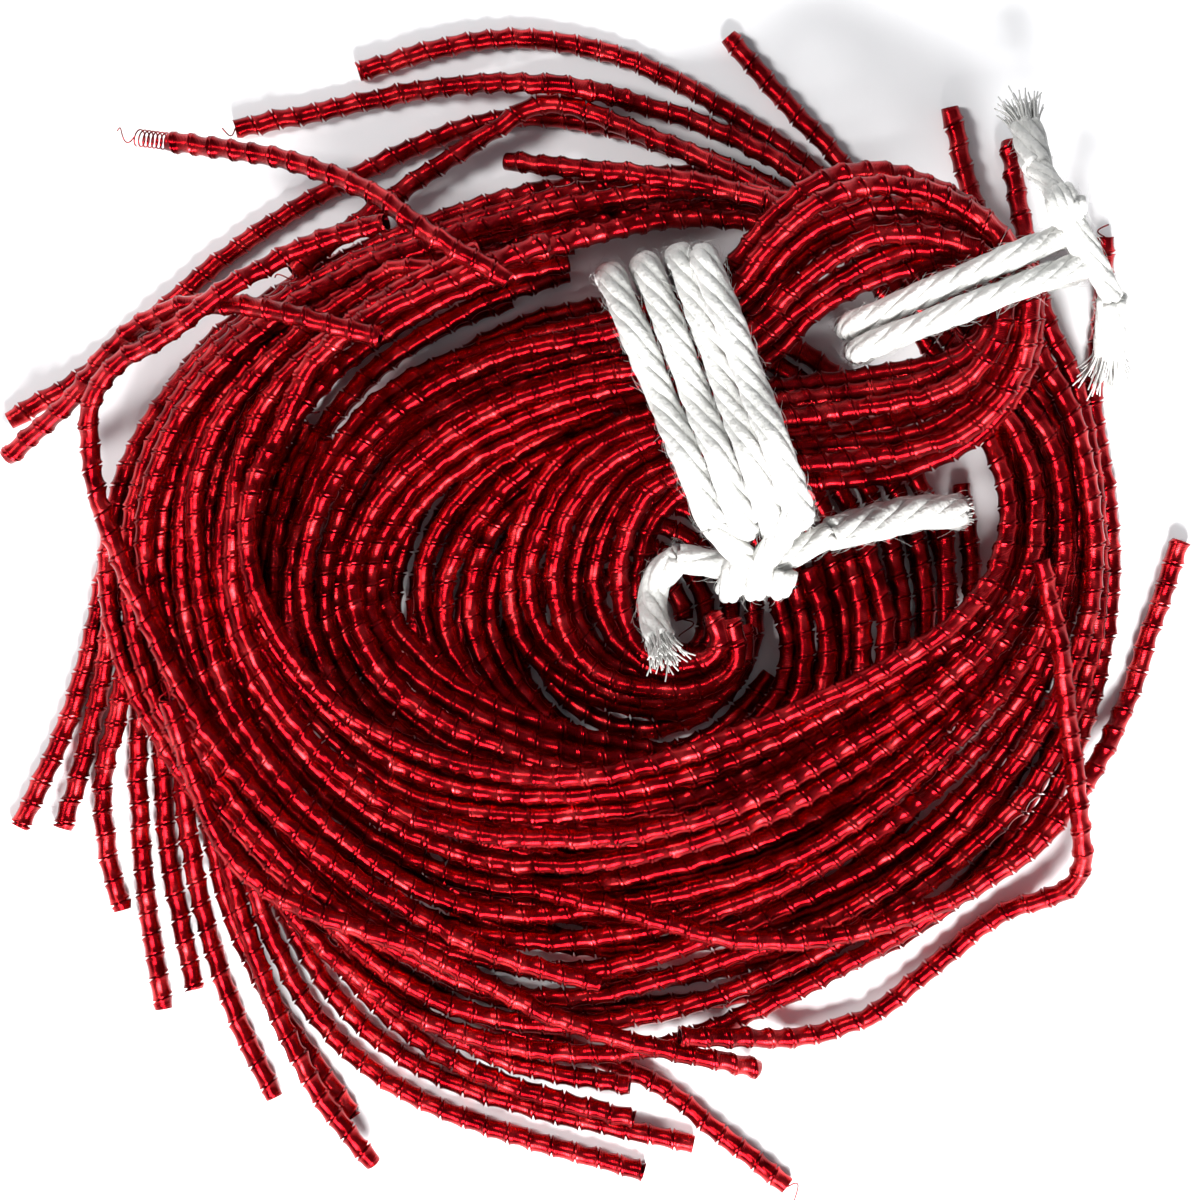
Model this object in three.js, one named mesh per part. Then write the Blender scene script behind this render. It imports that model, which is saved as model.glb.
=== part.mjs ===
// A hank of crimped hollow metal purl (French wire), bundled up and tied with cotton yarn.
// Millimetres. X to the right, Y away from the viewer, Z up. The hank lies on Z = 0.
import * as THREE from "three";

// ---- driving dimensions ----
const STRAND_RADIUS = 1.0;
const STRAND_SIDES = 6;
const YARN_SIDES = 8;
const CENTRE_YARN_RADIUS = 1.5;
const FOLD_YARN_RADIUS = 1.3;
const RIGHT_TAIL_RADIUS = 1.8;
const KNOT_RADIUS = 2.6;
const FOLD_KNOT_RADIUS = 2.0;
const FOLD_TAIL_RADIUS = 1.6;
const AIR_GAP = 0.15; // least space kept between two neighbouring runs
const MAX_SLOPE = 0.45; // steepest climb of a strand over its neighbours
const YARN_SLOPE = 0.9; // and of a loose yarn tail
const STEP_LENGTH = 9.0; // longest straight step of a run
const STEP_TURN = 0.4; // largest bend, in radians, between two steps
const SWAY = 0.35; // how far a run wanders off its lane
const LEG_BULGE = 1.0; // how far a yarn turn stands off the bundle's side
const LEG_ANGLES = [-25, 25]; // places on the half loop at a bundle's side, in degrees
const PLAN_CENTRE = [-0.349, -1.141]; // middle of the hank's outline, moved onto the origin

const RED_WIRE = { color: 0x96101c, roughness: 0.3, metalness: 0.85 };
const WHITE_COTTON = { color: 0xe9e8e2, roughness: 0.95, metalness: 0.0 };

// Levels: a run more than LEVEL_BAND above another crosses over it. Runs nearer in level than
// that stack in the order they are listed.
const LEVEL_BAND = 2.5;
const LEVEL_COIL = -10;
const LEVEL_UNDER = -5;
const LEVEL_LOW = 0;
const LEVEL_RING = 3;
const LEVEL_LOBE = 5;
const LEVEL_TIE = 20;
const LANE_LAYERS = 3;
const STACK_PASSES = 600;
const NEAR_SHARES = [0, 0.25, 0.5, 0.75, 1];
const SLOPE_ALLOWANCE = 1.06; // sloping runs pass a little nearer than their heights say
const SELF_REACH = 9; // a run is not stacked on itself nearer than this along its length

// ---- lanes: [x, y of the first lane, x, y of the last lane] ----

// From under the centre tie's right tail, round the left, over the folded lobe, into the curl.
const LOBE_LANES = 7;
const LOBE_CLIMB = [10, 15]; // rows over which a lobe run climbs from the low level to its own
const LOBE_ROWS = [
  [17.5, 1.5, 28.5, 7.5],
  [19, -3, 30.5, 0],
  [19, -8, 30.5, -8],
  [16.5, -12.5, 27, -15.5],
  [11.5, -15, 20, -21],
  [5, -15.2, 9, -24],
  [-2.5, -13.7, -3, -24.5],
  [-10, -10.7, -14.5, -21.5],
  [-16.8, -7.2, -24, -15.5],
  [-20.8, -3, -29.5, -8],
  [-22.2, 2.2, -31.7, 0],
  [-20, 8, -30, 9],
  [-15, 13, -25.5, 17.5],
  [-7, 17.5, -17, 23.5],
  [2, 20.2, -8, 26.8],
  [9, 21.2, 2, 28.2],
  [15, 23.2, 12.2, 31],
  [18.5, 25.5, 15.2, 36],
  [22.3, 29.4, 20, 41],
  [26.8, 32.2, 27, 43],
  [33, 34, 35, 41.2],
  [37.5, 33.4, 41, 36.4],
  [39.3, 30, 43.8, 30.5],
  [37.8, 25.4, 43, 23.5],
  [33, 23.4, 39, 16.5],
  [26.8, 22.4, 32, 13],
  [19, 21.6, 23, 12],
  [12, 20.3, 15.5, 12],
  [4, 18.6, 10, 11.9],
  [-3, 15.5, 6, 10],
  [-7.8, 9, 4.5, 5.5],
  [-9.7, 2, 3.8, 1.5],
  [-8, -4.5, 4.5, -2],
  [-2.5, -9.5, 6.2, -4.8],
  [5, -11.3, 9, -6],
  [11.5, -10.5, 11.2, -5],
  [15.2, -6.8, 11.8, -3.2],
  [14.8, -2.5, 10.8, -1.5],
];

// From the right edge, along the bottom and up the left side to the top.
const RING_LANES = 12;
const RING_ROWS = [
  [49.5, 21.5, 39, 17],
  [51.2, 12, 41.5, 9],
  [52.2, 1, 39, 0],
  [50.5, -10, 30.5, -5.8],
  [46, -20, 20, -10.6],
  [38.5, -28.5, 10, -15],
  [28, -35.5, 0, -17.6],
  [16, -41.5, -10, -17],
  [4, -46, -18, -15.5],
  [-8, -46, -25.5, -11.5],
  [-20, -41.5, -30.5, -6],
  [-31, -32, -34.6, 1],
  [-41, -20, -36, 9],
  [-48, -8, -32, 16.5],
  [-50, 4, -29, 23],
  [-47.5, 15, -22.5, 28.5],
  [-41, 24.5, -14, 32],
  [-30, 32.5, -5, 35],
];

// Where each ring run starts before it joins the lanes: a loose end, or nothing if it is hidden.
const RING_HEADS = [
  [[51.2, 36.8], [51.4, 30]],
  [[41.5, 46.5], [42.2, 41.5], [43, 36], [44.5, 29]],
  [[35.5, 50], [36.5, 45], [38.5, 38], [42, 29]],
  [[13, 57.2], [19, 50.2], [25, 44], [32, 36], [39, 27]],
  [[-24.5, 53.5], [-17, 56], [-7.5, 57.4], [2, 55.5], [10, 51.5], [18, 46.5], [26, 40], [34, 31], [40, 24]],
  [[-37, 47.8], [-30, 49.2], [-20, 51.5], [-10, 52.6], [-1, 51.6], [8, 49.2], [16, 45.8], [24, 40], [32, 31],
    [38, 23]],
  [[-60, 18.2], [-54, 21.5], [-48, 26], [-40, 33.5], [-32, 39.2], [-24, 43.5], [-15, 47.8], [-7, 49.6],
    [1, 48], [10, 45], [18, 41.5], [27, 36], [34, 27]],
  [[-31, 33], [-21, 40.8], [-15, 45], [-9.5, 48.2], [-6.8, 50.4], [-2.5, 50], [4, 47], [12, 43.5],
    [20, 39], [29, 31], [35, 23]],
  [[-9.5, 44.3], [-3, 43.5], [4, 42.5], [12, 41.4], [20, 38], [28.5, 33], [36, 25]],
];

// The first ring runs carry on to the right along the top and end under the lobe.
const TOP_LANES = 6;
const TOP_ROWS = [
  [-18, 37.5, -17, 32.5],
  [-8, 41.2, -8, 33.8],
  [2, 42.8, 2, 37.2],
  [11, 43.4, 11.5, 39.2],
  [20, 41, 19, 37],
];

// From the top, down the left side, fanning out into loose ends.
const FAN_LANES = 12;
const FAN_ROWS = [
  [-3, 40.5, -3, 32],
  [-14, 40, -12, 29.5],
  [-31, 32.5, -22, 23],
  [-41.5, 24.5, -27, 16.5],
  [-48, 12.5, -30.5, 8],
  [-51, 1, -31, -2],
  [-52, -8, -31.5, -12],
];
const FAN_LATE_ROW = 3; // every second fan run starts at this row, under the ring runs
const FAN_ENDS = [
  [[-55, -15], [-59, -23]],
  [[-52.5, -16], [-54.5, -23.2]],
  [[-51, -19], [-50, -26], [-48.5, -31.5]],
  [[-47, -20], [-46, -31], [-44.2, -41.5]],
  [[-44.5, -20], [-43.2, -30], [-41, -39.5]],
  [[-42, -23], [-39, -38], [-33, -50.5]],
  [[-40, -23], [-36, -37], [-25, -52.5]],
  [[-38.5, -24], [-34, -39], [-29, -49.5], [-23, -57]],
  [[-36.5, -25], [-31, -40], [-23, -48.5], [-12, -53.5], [4.5, -58]],
  [[-34.5, -26], [-28.5, -39], [-20, -47], [-8, -51.5], [9.5, -55.2]],
  [[-32.5, -27], [-26, -38], [-17, -46], [-7, -50], [3.5, -52.5]],
  [[-30, -28], [-23, -38], [-14, -45], [-6, -47.8], [3, -49]],
];

// Low runs that fill the hank under the ring and between the arcs and the curl.
const LOW_BANDS = {
  inner_strand: {
    lanes: 4,
    rows: [
      [6, 14, 1, 19], [-2, 11, -9, 15.5], [-9, 6.5, -15, 9.5], [-11.5, 0, -18.5, 2], [-10, -7, -17, -6],
      [-4, -13.5, -10, -12.5], [3, -17.5, -2, -18], [10, -18.5, 9, -23],
    ],
  },
  under_knot_strand: {
    lanes: 3,
    rows: [
      [31.5, 8, 37, 12], [33, 0, 38, 2], [32.5, -8, 36.5, -8], [28, -16, 32, -16.5], [20, -22.5, 24, -24.5],
      [10, -26, 12, -30], [0, -27, 0, -32], [-12, -24, -14, -30],
    ],
  },
  bottom_strand: {
    lanes: 3,
    rows: [
      [43, -9, 47, -13], [38, -20, 42, -24], [30, -28, 33, -33], [18, -33, 20, -39], [4, -35.5, 4, -42],
      [-9, -34, -11, -41], [-20, -28, -23, -34], [-28, -19, -32, -24],
    ],
  },
};

// Flat coils under the whole hank, each going on where the one inside it ends.
const COIL_CENTRE = [4, -2];
const COIL_STARTS = [4.5, 14.5, 24.5]; // inner radius of each coil
const COIL_SPACING = 2.5;
const COIL_TURNS = 3.94;
const COIL_POINTS = 16; // route points to a turn

// Single runs.
const SINGLE_ROUTES = {
  opened_end_strand: [
    [-46.5, 46.5], [-37, 45], [-27, 42.8], [-20, 38.8], [-15, 34.6], [-9, 31.4],
  ],
  left_exit_strand: [
    [-60, 14.5], [-54, 19.2], [-50, 24], [-45.5, 28.2], [-40, 29.7], [-33, 28.8], [-26, 27], [-21.5, 25.8],
  ],
  left_cross_strand: [
    [-21, 37.2], [-30, 35], [-38, 30], [-45, 25], [-50.2, 22.5], [-51.6, 17], [-50.5, 10], [-47.5, 3],
    [-44, -5], [-39.5, -13.5], [-33, -21], [-26, -27], [-18, -31.5], [-10, -36], [0, -38.5],
  ],
  lower_cross_strand: [
    [-43, -10], [-40, -20], [-36, -27.8], [-28, -31.5], [-18, -34.8], [-9, -40], [0, -44], [8, -45.5],
    [16, -47.5],
  ],
  right_outer_strand: [
    [59, 6], [56.5, -1], [54.5, -8], [50, -17.5], [44, -25], [36, -30], [25, -34], [14, -34.5],
    [4, -31.5], [-6, -29],
  ],
  kinked_strand: [
    [44, 4], [46, -4], [47, -12], [48, -20], [48.6, -26], [48.2, -29.4], [45, -29.8], [39, -32.5],
    [34, -37], [29, -41.5], [23, -44.3], [16, -44.2], [8, -44],
  ],
};
const ARC_ROUTE = [[-31.5, -9], [-33, 1], [-32, 9], [-28.5, 17], [-23, 23.5], [-16, 28], [-9, 30.5]];
const BOTTOM_EXIT_ROUTE = [[19, -59.5], [12, -54], [6, -49], [0, -46.2], [-10, -43.5], [-20, -38.5], [-27, -31]];

// ---- yarn ties: straight turns from the near side of a bundle to its far side ----
const CENTRE_TURNS = [
  { near: [10.8, 8.6], far: [1.6, 31] },
  { near: [13.8, 8.6], far: [5.1, 32] },
  { near: [16.8, 8.6], far: [8.5, 32.8] },
  { near: [19.2, 9.8], far: [10.7, 32.6] },
];
const FOLD_TURNS = [
  { near: [45.8, 36], far: [26.4, 28] },
  { near: [47, 33], far: [27.3, 25.5] },
];
const CENTRE_KNOT = [[12.8, 2.7], [18.4, 2.9]];
const CENTRE_TAIL_RIGHT = [[23, 6.6], [26, 8], [30.5, 8.8], [36.2, 8.9]];
const CENTRE_TAIL_LEFT = [[8, 4.2], [5.6, 2.6], [4.9, -0.8], [6, -4]];
const FOLD_KNOT = [[44.9, 38.7], [46.7, 39.4]];
const FOLD_TAIL_TOP = [[43.4, 42.8], [42.8, 44.8], [42.6, 47.2]];
const FOLD_TAIL_SIDE = [[50.8, 30], [51.3, 27.4], [51, 24.8]];
// Heights the yarn has at its knots, and the least height of each tail's two ends.
const CENTRE_KNOT_HEIGHT = 11;
const FOLD_KNOT_HEIGHT = 15;
const TAIL_END_HEIGHT = 4;

// ---- plan routes ----
function laneRoute(rows, share, number) {
  return rows.map(([x0, y0, x1, y1], row) => [
    x0 + (x1 - x0) * share + SWAY * Math.sin(1.7 * row + 2.3 * number),
    y0 + (y1 - y0) * share + SWAY * Math.cos(2.1 * row + 1.9 * number),
  ]);
}

function withLevel(points, level) {
  return points.map(([x, y]) => [x, y, level]);
}

// Corner cutting: the route keeps its two ends and rounds every corner between them.
function roundCorners(route) {
  let points = route;
  for (let pass = 0; pass < 3; pass += 1) {
    const next = [points[0]];
    for (let i = 0; i + 1 < points.length; i += 1) {
      const a = points[i];
      const b = points[i + 1];
      next.push(a.map((value, k) => 0.75 * value + 0.25 * b[k]));
      next.push(a.map((value, k) => 0.25 * value + 0.75 * b[k]));
    }
    next.push(points[points.length - 1]);
    points = next;
  }
  return points;
}

// Picks the points a tube is built on: long steps where it runs straight, short ones in bends.
function stationsOf(points) {
  const stations = [points[0]];
  let length = 0;
  let turn = 0;
  for (let i = 1; i + 1 < points.length; i += 1) {
    const [ax, ay] = [points[i][0] - points[i - 1][0], points[i][1] - points[i - 1][1]];
    const [bx, by] = [points[i + 1][0] - points[i][0], points[i + 1][1] - points[i][1]];
    length += Math.hypot(ax, ay);
    turn += Math.abs(Math.atan2(ax * by - ay * bx, ax * bx + ay * by));
    const ahead = Math.hypot(bx, by);
    if (length + ahead > STEP_LENGTH || turn > STEP_TURN) {
      stations.push(points[i]);
      length = 0;
      turn = 0;
    }
  }
  stations.push(points[points.length - 1]);
  return stations;
}

function run(name, route, radius) {
  const stations = stationsOf(roundCorners(route));
  const arc = [0];
  for (let k = 1; k < stations.length; k += 1) {
    const [a, b] = [stations[k - 1], stations[k]];
    arc.push(arc[k - 1] + Math.hypot(b[0] - a[0], b[1] - a[1]));
  }
  return { name, radius, stations, arc };
}

// Lane numbers in stacking order: every third lane lies first, the others rest between them.
function lanesInOrder(count) {
  const order = [];
  for (let layer = 0; layer < LANE_LAYERS; layer += 1) {
    for (let i = layer; i < count; i += LANE_LAYERS) {
      order.push(i);
    }
  }
  return order;
}

function lobeLevel(row) {
  const share = (row - LOBE_CLIMB[0]) / (LOBE_CLIMB[1] - LOBE_CLIMB[0]);
  return LEVEL_LOW + (LEVEL_LOBE - LEVEL_LOW) * Math.min(1, Math.max(0, share));
}

function coilRoute(inner) {
  const points = [];
  for (let i = 0; i <= Math.round(COIL_TURNS * COIL_POINTS); i += 1) {
    const angle = (2 * Math.PI * i) / COIL_POINTS;
    const radius = inner + (COIL_SPACING * i) / COIL_POINTS;
    points.push([COIL_CENTRE[0] + radius * Math.cos(angle), COIL_CENTRE[1] + radius * Math.sin(angle)]);
  }
  return points;
}

function strandRuns() {
  const runs = [];
  const add = (name, route) => runs.push(run(name, route, STRAND_RADIUS));
  COIL_STARTS.forEach((inner, i) => add(`bottom_coil_${i + 1}`, withLevel(coilRoute(inner), LEVEL_COIL)));
  add("bottom_exit_strand", withLevel(BOTTOM_EXIT_ROUTE, LEVEL_LOW));
  add("arc_strand", withLevel(ARC_ROUTE, LEVEL_LOW));
  for (const [name, band] of Object.entries(LOW_BANDS)) {
    for (const i of lanesInOrder(band.lanes)) {
      add(`${name}_${i + 1}`, withLevel(laneRoute(band.rows, i / (band.lanes - 1), i), LEVEL_LOW));
    }
  }
  for (const i of lanesInOrder(FAN_LANES)) {
    const lane = laneRoute(FAN_ROWS, i / (FAN_LANES - 1), i).slice(i % 2 ? FAN_LATE_ROW : 0);
    const route = [...lane, ...FAN_ENDS[i]];
    add(`fan_strand_${String(i + 1).padStart(2, "0")}`, withLevel(route, LEVEL_LOW));
  }
  for (const i of lanesInOrder(RING_LANES)) {
    const head = RING_HEADS[i] || [];
    const top = i < TOP_LANES ? laneRoute(TOP_ROWS, i / (TOP_LANES - 1), i) : [];
    const route = [...head, ...laneRoute(RING_ROWS, i / (RING_LANES - 1), i), ...top];
    add(`ring_strand_${String(i + 1).padStart(2, "0")}`, withLevel(route, LEVEL_RING));
  }
  for (const [name, route] of Object.entries(SINGLE_ROUTES)) {
    add(name, withLevel(route, LEVEL_RING));
  }
  for (const i of lanesInOrder(LOBE_LANES)) {
    const route = laneRoute(LOBE_ROWS, i / (LOBE_LANES - 1), i);
    add(`lobe_strand_${i + 1}`, route.map(([x, y], row) => [x, y, lobeLevel(row)]));
  }
  return runs;
}

// A straight yarn run in four steps, a little longer than the bundle it holds.
function yarnRun(from, to, level, radius) {
  const length = Math.hypot(to[0] - from[0], to[1] - from[1]);
  const over = LEG_BULGE / length;
  const stations = [];
  for (let i = 0; i <= 4; i += 1) {
    const share = -over + (1 + 2 * over) * (i / 4);
    stations.push([from[0] + (to[0] - from[0]) * share, from[1] + (to[1] - from[1]) * share, level]);
  }
  return { radius, stations, arc: stations.map(() => 0) };
}

function tieRuns(turns, radius) {
  const upper = turns.map((turn) => yarnRun(turn.near, turn.far, LEVEL_TIE, radius));
  const lower = [];
  for (let i = 0; i + 1 < turns.length; i += 1) {
    lower.push(yarnRun(turns[i].far, turns[i + 1].near, LEVEL_UNDER, radius));
  }
  return { upper, lower };
}

function knotRun(name, points, radius, height) {
  return { name, radius, stations: withLevel(points, LEVEL_TIE), arc: [0, 0], rests: [height, height] };
}

// A loose yarn tail, which leaves its knot at the knot's height and comes down towards its end.
function tailRun(name, points, radius, height) {
  const item = run(name, withLevel(points, LEVEL_TIE), radius);
  const last = item.arc[item.arc.length - 1];
  item.rests = item.arc.map((at) => height + (TAIL_END_HEIGHT - height) * (at / last));
  item.maxSlope = YARN_SLOPE;
  return item;
}

// ---- stacking: every run is lifted just clear of the runs below it ----
function projectOnSegment(p, a, b) {
  const dx = b[0] - a[0];
  const dy = b[1] - a[1];
  const square = dx * dx + dy * dy;
  const share = square > 0 ? ((p[0] - a[0]) * dx + (p[1] - a[1]) * dy) / square : 0;
  const t = Math.min(1, Math.max(0, share));
  return [t, Math.hypot(a[0] + dx * t - p[0], a[1] + dy * t - p[1])];
}

// Places where two plan segments come near each other: [share of a, share of b, distance].
function nearPoints(a0, a1, b0, b1) {
  const found = [];
  for (const share of NEAR_SHARES) {
    const onA = [a0[0] + (a1[0] - a0[0]) * share, a0[1] + (a1[1] - a0[1]) * share];
    const onB = [b0[0] + (b1[0] - b0[0]) * share, b0[1] + (b1[1] - b0[1]) * share];
    const [v, fromA] = projectOnSegment(onA, b0, b1);
    const [u, fromB] = projectOnSegment(onB, a0, a1);
    found.push([share, v, fromA], [u, share, fromB]);
  }
  const [ax, ay] = [a1[0] - a0[0], a1[1] - a0[1]];
  const [bx, by] = [b1[0] - b0[0], b1[1] - b0[1]];
  const cross = ax * by - ay * bx;
  if (Math.abs(cross) > 1e-9) {
    const u = ((b0[0] - a0[0]) * by - (b0[1] - a0[1]) * bx) / cross;
    const v = ((b0[0] - a0[0]) * ay - (b0[1] - a0[1]) * ax) / cross;
    if (u > 0 && u < 1 && v > 0 && v < 1) {
      found.push([u, v, 0]);
    }
  }
  return found;
}

function contactsBetween(runs, i, j, contacts) {
  const [first, second] = [runs[i], runs[j]];
  const reach = first.radius + second.radius + AIR_GAP;
  for (let k = 0; k + 1 < first.stations.length; k += 1) {
    const start = i === j ? k + 2 : 0;
    for (let m = start; m + 1 < second.stations.length; m += 1) {
      if (i === j && first.arc[m] - first.arc[k + 1] < SELF_REACH) continue;
      const [a0, a1] = [first.stations[k], first.stations[k + 1]];
      const [b0, b1] = [second.stations[m], second.stations[m + 1]];
      if (Math.min(a0[0], a1[0]) - Math.max(b0[0], b1[0]) > reach) continue;
      if (Math.min(b0[0], b1[0]) - Math.max(a0[0], a1[0]) > reach) continue;
      if (Math.min(a0[1], a1[1]) - Math.max(b0[1], b1[1]) > reach) continue;
      if (Math.min(b0[1], b1[1]) - Math.max(a0[1], a1[1]) > reach) continue;
      const level = (a0[2] + a1[2] - b0[2] - b1[2]) / 2;
      for (const [u, v, distance] of nearPoints(a0, a1, b0, b1)) {
        if (distance >= reach) continue;
        const rise = SLOPE_ALLOWANCE * Math.sqrt(reach * reach - distance * distance);
        const a = first.offset + k;
        const b = second.offset + m;
        const contact = level > LEVEL_BAND ? { a, u, b, v, rise } : { a: b, u: v, b: a, v: u, rise };
        contacts.push(contact);
      }
    }
  }
}

function stackHeights(runs, passes) {
  let count = 0;
  for (const item of runs) {
    item.offset = count;
    count += item.stations.length;
  }
  const contacts = [];
  for (let i = 0; i < runs.length; i += 1) {
    for (let j = i; j < runs.length; j += 1) {
      contactsBetween(runs, i, j, contacts);
    }
  }
  let heights = new Array(count).fill(0);
  for (const item of runs) {
    item.stations.forEach((station, k) => {
      heights[item.offset + k] = item.rests ? item.rests[k] : item.rest;
    });
  }
  let worst = Infinity;
  for (let pass = 0; pass < passes && worst > 0.001; pass += 1) {
    worst = 0;
    const raised = heights.slice();
    for (const { a, u, b, v, rise } of contacts) {
      const upper = heights[a] * (1 - u) + heights[a + 1] * u;
      const lower = heights[b] * (1 - v) + heights[b + 1] * v;
      const lack = lower + rise - upper;
      if (lack <= 0) continue;
      worst = Math.max(worst, lack);
      const share = (1 - u) ** 2 + u ** 2;
      raised[a] = Math.max(raised[a], heights[a] + (lack * (1 - u)) / share);
      raised[a + 1] = Math.max(raised[a + 1], heights[a + 1] + (lack * u) / share);
    }
    heights = raised;
    for (const item of runs) {
      limitSlope(heights, item);
    }
  }
  for (const item of runs) {
    item.points = item.stations.map(([x, y], k) => [x, y, heights[item.offset + k]]);
  }
  return worst;
}

function limitSlope(heights, item) {
  const last = item.stations.length - 1;
  for (let k = 0; k < last; k += 1) {
    const [a, b] = [item.stations[k], item.stations[k + 1]];
    const drop = item.maxSlope * Math.hypot(b[0] - a[0], b[1] - a[1]);
    const at = item.offset + k;
    heights[at + 1] = Math.max(heights[at + 1], heights[at] - drop);
  }
  for (let k = last; k > 0; k -= 1) {
    const [a, b] = [item.stations[k - 1], item.stations[k]];
    const drop = item.maxSlope * Math.hypot(b[0] - a[0], b[1] - a[1]);
    const at = item.offset + k;
    heights[at - 1] = Math.max(heights[at - 1], heights[at] - drop);
  }
}

// ---- solids ----
function direction(from, to) {
  return to.clone().sub(from).normalize();
}

// One closed tube along the points, capped flat at both ends. Rings lean halfway into each bend.
// Level tubes keep a facet facing down; a yarn's rings are carried along its turns instead.
function tubeGeometry(points, radii, sides, isLevel) {
  const centres = points.map(([x, y, z]) => new THREE.Vector3(x, y, z));
  const last = centres.length - 1;
  const positions = [];
  const indices = [];
  const tangents = centres.map((centre, k) => {
    const before = centres[Math.max(0, k - 1)];
    const after = centres[Math.min(last, k + 1)];
    return direction(before, after);
  });
  const vertical = new THREE.Vector3(0, 0, 1);
  let side = new THREE.Vector3().crossVectors(tangents[0], vertical).normalize();
  centres.forEach((centre, k) => {
    if (isLevel) {
      side = new THREE.Vector3().crossVectors(tangents[k], vertical).normalize();
    }
    const up = new THREE.Vector3().crossVectors(side, tangents[k]).normalize();
    side = new THREE.Vector3().crossVectors(tangents[k], up).normalize();
    for (let n = 0; n < sides; n += 1) {
      const angle = (2 * Math.PI * n) / sides;
      const radius = radii[k];
      const point = centre.clone()
        .addScaledVector(side, radius * Math.cos(angle))
        .addScaledVector(up, radius * Math.sin(angle));
      positions.push(point.x, point.y, point.z);
    }
  });
  for (let k = 0; k < last; k += 1) {
    for (let n = 0; n < sides; n += 1) {
      const a = k * sides + n;
      const b = k * sides + ((n + 1) % sides);
      indices.push(a, a + sides, b, b, a + sides, b + sides);
    }
  }
  for (let n = 1; n + 1 < sides; n += 1) {
    indices.push(0, n, n + 1);
    indices.push(last * sides, last * sides + n + 1, last * sides + n);
  }
  const geometry = new THREE.BufferGeometry();
  geometry.setAttribute("position", new THREE.Float32BufferAttribute(positions, 3));
  geometry.setIndex(indices);
  geometry.computeVertexNormals();
  return geometry;
}

function solid(name, points, radii, sides, look) {
  const geometry = tubeGeometry(points, radii, sides, look === RED_WIRE);
  const mesh = new THREE.Mesh(geometry, new THREE.MeshStandardMaterial(look));
  mesh.name = name;
  return mesh;
}

// A yarn turn's side: an upright half loop from the run under the bundle to the run over it.
function legPoints(under, over, outward) {
  const points = [];
  for (const angle of LEG_ANGLES) {
    const share = (1 + Math.sin((angle * Math.PI) / 180)) / 2;
    const bulge = LEG_BULGE * 0.6 * Math.cos((angle * Math.PI) / 180);
    points.push([
      under[0] + (over[0] - under[0]) * share + outward[0] * bulge,
      under[1] + (over[1] - under[1]) * share + outward[1] * bulge,
      under[2] + (over[2] - under[2]) * share,
    ]);
  }
  return points;
}

// The whole wound yarn as one path: over, down the far side, back under, up the near side.
function tiePath(tie, turns) {
  const path = [];
  tie.upper.forEach((over, i) => {
    const length = Math.hypot(turns[i].far[0] - turns[i].near[0], turns[i].far[1] - turns[i].near[1]);
    const away = [(turns[i].far[0] - turns[i].near[0]) / length, (turns[i].far[1] - turns[i].near[1]) / length];
    path.push(...over.points);
    const under = tie.lower[i];
    const top = over.points[over.points.length - 1];
    if (!under) {
      const lowest = tie.lower[tie.lower.length - 1].points[0][2];
      const floor = [top[0], top[1], lowest];
      path.push(...legPoints(floor, top, away).reverse());
      path.push([floor[0] - away[0] * 0.8, floor[1] - away[1] * 0.8, floor[2]]);
      return;
    }
    path.push(...legPoints(under.points[0], top, away).reverse());
    path.push(...under.points);
    const next = tie.upper[i + 1].points[0];
    const back = [-away[0], -away[1]];
    path.push(...legPoints(under.points[under.points.length - 1], next, back));
  });
  return path;
}

// A knot is a short fat lump, round at both ends.
function knotPath(points, radius) {
  const [a, b] = points;
  const length = Math.hypot(b[0] - a[0], b[1] - a[1]);
  const along = [(b[0] - a[0]) / length, (b[1] - a[1]) / length];
  const path = [];
  const radii = [];
  for (const [end, share, sign] of [[a, 0.85, -1], [a, 0.5, -1], [a, 0, 1], [b, 0, 1], [b, 0.5, 1], [b, 0.85, 1]]) {
    path.push([end[0] + along[0] * radius * share * sign, end[1] + along[1] * radius * share * sign, end[2]]);
    radii.push(radius * Math.sqrt(1 - share * share));
  }
  return { path, radii };
}

// ---- assembly ----
const hank = new THREE.Group();
const strands = strandRuns();
const centreTie = tieRuns(CENTRE_TURNS, CENTRE_YARN_RADIUS);
const foldTie = tieRuns(FOLD_TURNS, FOLD_YARN_RADIUS);
const knots = [
  knotRun("centre_tie_knot", CENTRE_KNOT, KNOT_RADIUS, CENTRE_KNOT_HEIGHT),
  knotRun("fold_tie_knot", FOLD_KNOT, FOLD_KNOT_RADIUS, FOLD_KNOT_HEIGHT),
];
const tails = [
  tailRun("centre_tie_tail_right", CENTRE_TAIL_RIGHT, RIGHT_TAIL_RADIUS, CENTRE_KNOT_HEIGHT),
  tailRun("centre_tie_tail_left", CENTRE_TAIL_LEFT, CENTRE_YARN_RADIUS, CENTRE_KNOT_HEIGHT),
  tailRun("fold_tie_tail_top", FOLD_TAIL_TOP, FOLD_TAIL_RADIUS, FOLD_KNOT_HEIGHT),
  tailRun("fold_tie_tail_side", FOLD_TAIL_SIDE, FOLD_TAIL_RADIUS, FOLD_KNOT_HEIGHT),
];
const allRuns = [
  ...centreTie.lower, ...foldTie.lower, ...strands, ...centreTie.upper, ...foldTie.upper, ...knots, ...tails,
];
for (const item of allRuns) {
  item.rest = item.radius * (strands.includes(item) ? Math.cos(Math.PI / STRAND_SIDES) : 1);
  item.maxSlope = item.maxSlope || MAX_SLOPE;
}
stackHeights(allRuns, STACK_PASSES);

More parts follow.
